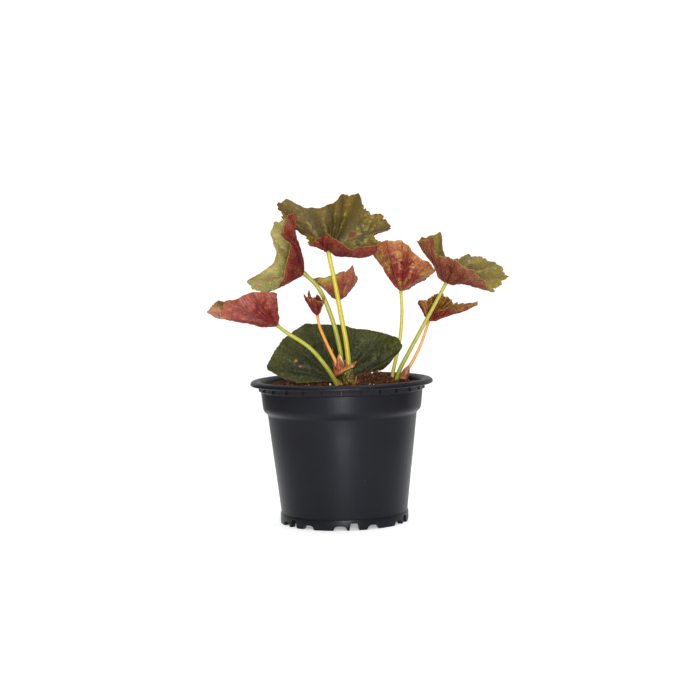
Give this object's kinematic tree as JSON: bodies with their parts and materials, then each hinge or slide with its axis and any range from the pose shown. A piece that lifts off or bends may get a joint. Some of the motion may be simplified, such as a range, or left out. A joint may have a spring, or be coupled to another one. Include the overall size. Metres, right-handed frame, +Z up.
{
  "type": "potted begonia",
  "caption": "Young begonia in a round tapered nursery pot: lobed, waved leaves, olive above and maroon below, stand on thin stalks over dark soil.",
  "frame": {"origin": "centre of the pot's underside, on the floor", "axes": "+Z up along the pot's axis, +X to the viewer's right, +Y away from the viewer of the plant's front"},
  "size_m": [0.1972, 0.12, 0.2149],
  "materials": {
    "pot": "satin",
    "soil": "matt, crumbly",
    "stem": "matt",
    "sheath": "papery",
    "stalk_green": "satin",
    "stalk_orange": "satin",
    "blade_olive": "satin, puckered",
    "blade_maroon": "satin, puckered",
    "blade_dark_green": "satin, puckered"
  },
  "bodies": {
    "root": {"pot": "pot", "soil": "soil", "stem": "stem", "sheath": "sheath", "scale_right": "sheath", "stalk_top": "stalk_green", "stalk_upper_left": "stalk_green", "stalk_bud_left": "stalk_orange", "stalk_back": "stalk_green", "stalk_lower_left": "stalk_green", "stalk_low": "stalk_green", "stalk_mid_right": "stalk_green", "stalk_upper_right": "stalk_green", "stalk_young_right": "stalk_orange", "leaf_top": "blade_olive", "leaf_upper_left": "blade_olive", "leaf_lower_left": "blade_maroon", "leaf_bud_left": "blade_maroon", "leaf_back": "blade_olive", "leaf_low": "blade_dark_green", "leaf_mid_right": "blade_maroon", "leaf_upper_right": "blade_olive", "leaf_young_right": "blade_maroon"}
  },
  "joints": []
}
